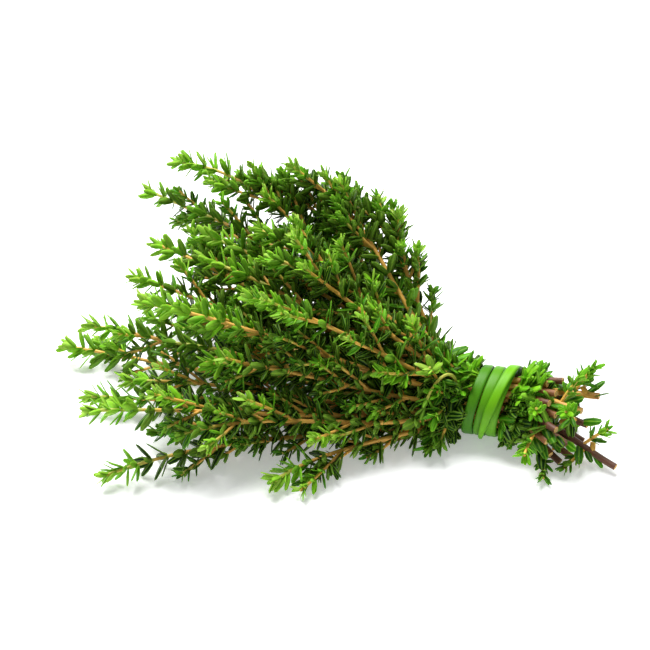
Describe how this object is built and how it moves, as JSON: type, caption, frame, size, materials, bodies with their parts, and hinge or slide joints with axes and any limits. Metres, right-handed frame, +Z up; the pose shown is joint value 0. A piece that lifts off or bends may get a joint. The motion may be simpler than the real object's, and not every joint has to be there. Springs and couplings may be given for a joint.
{
  "type": "thyme bundle",
  "caption": "Bundle of fresh thyme: leafy sprigs fanned out on one side of a green leaf strip wound round the stems, cut ends on the other.",
  "frame": {"origin": "bottom centre of the bounding box, on the surface that the bundle lies on", "axes": "+X along the bundle from the sprigs' tips to the cut ends, +Z up from the surface, +Y to the bundle's far side"},
  "size_m": [0.2424, 0.1462, 0.0821],
  "materials": {
    "thyme": "matte green leaves on brown woody stems",
    "tie": "smooth bright green leaf strip, slightly glossy"
  },
  "bodies": {
    "root": {"sprig_01": "thyme", "sprig_02": "thyme", "sprig_03": "thyme", "sprig_04": "thyme", "sprig_05": "thyme", "sprig_06": "thyme", "sprig_07": "thyme", "sprig_08": "thyme", "sprig_09": "thyme", "sprig_10": "thyme", "sprig_11": "thyme", "sprig_12": "thyme", "sprig_13": "thyme", "sprig_14": "thyme", "sprig_15": "thyme", "sprig_16": "thyme", "sprig_17": "thyme", "sprig_18": "thyme", "sprig_19": "thyme", "sprig_20": "thyme", "sprig_21": "thyme", "sprig_22": "thyme", "sprig_23": "thyme", "sprig_24": "thyme", "sprig_25": "thyme", "sprig_26": "thyme", "sprig_27": "thyme", "sprig_28": "thyme", "sprig_29": "thyme", "sprig_30": "thyme", "sprig_31": "thyme", "sprig_32": "thyme", "sprig_33": "thyme", "tie": "tie"}
  },
  "joints": []
}
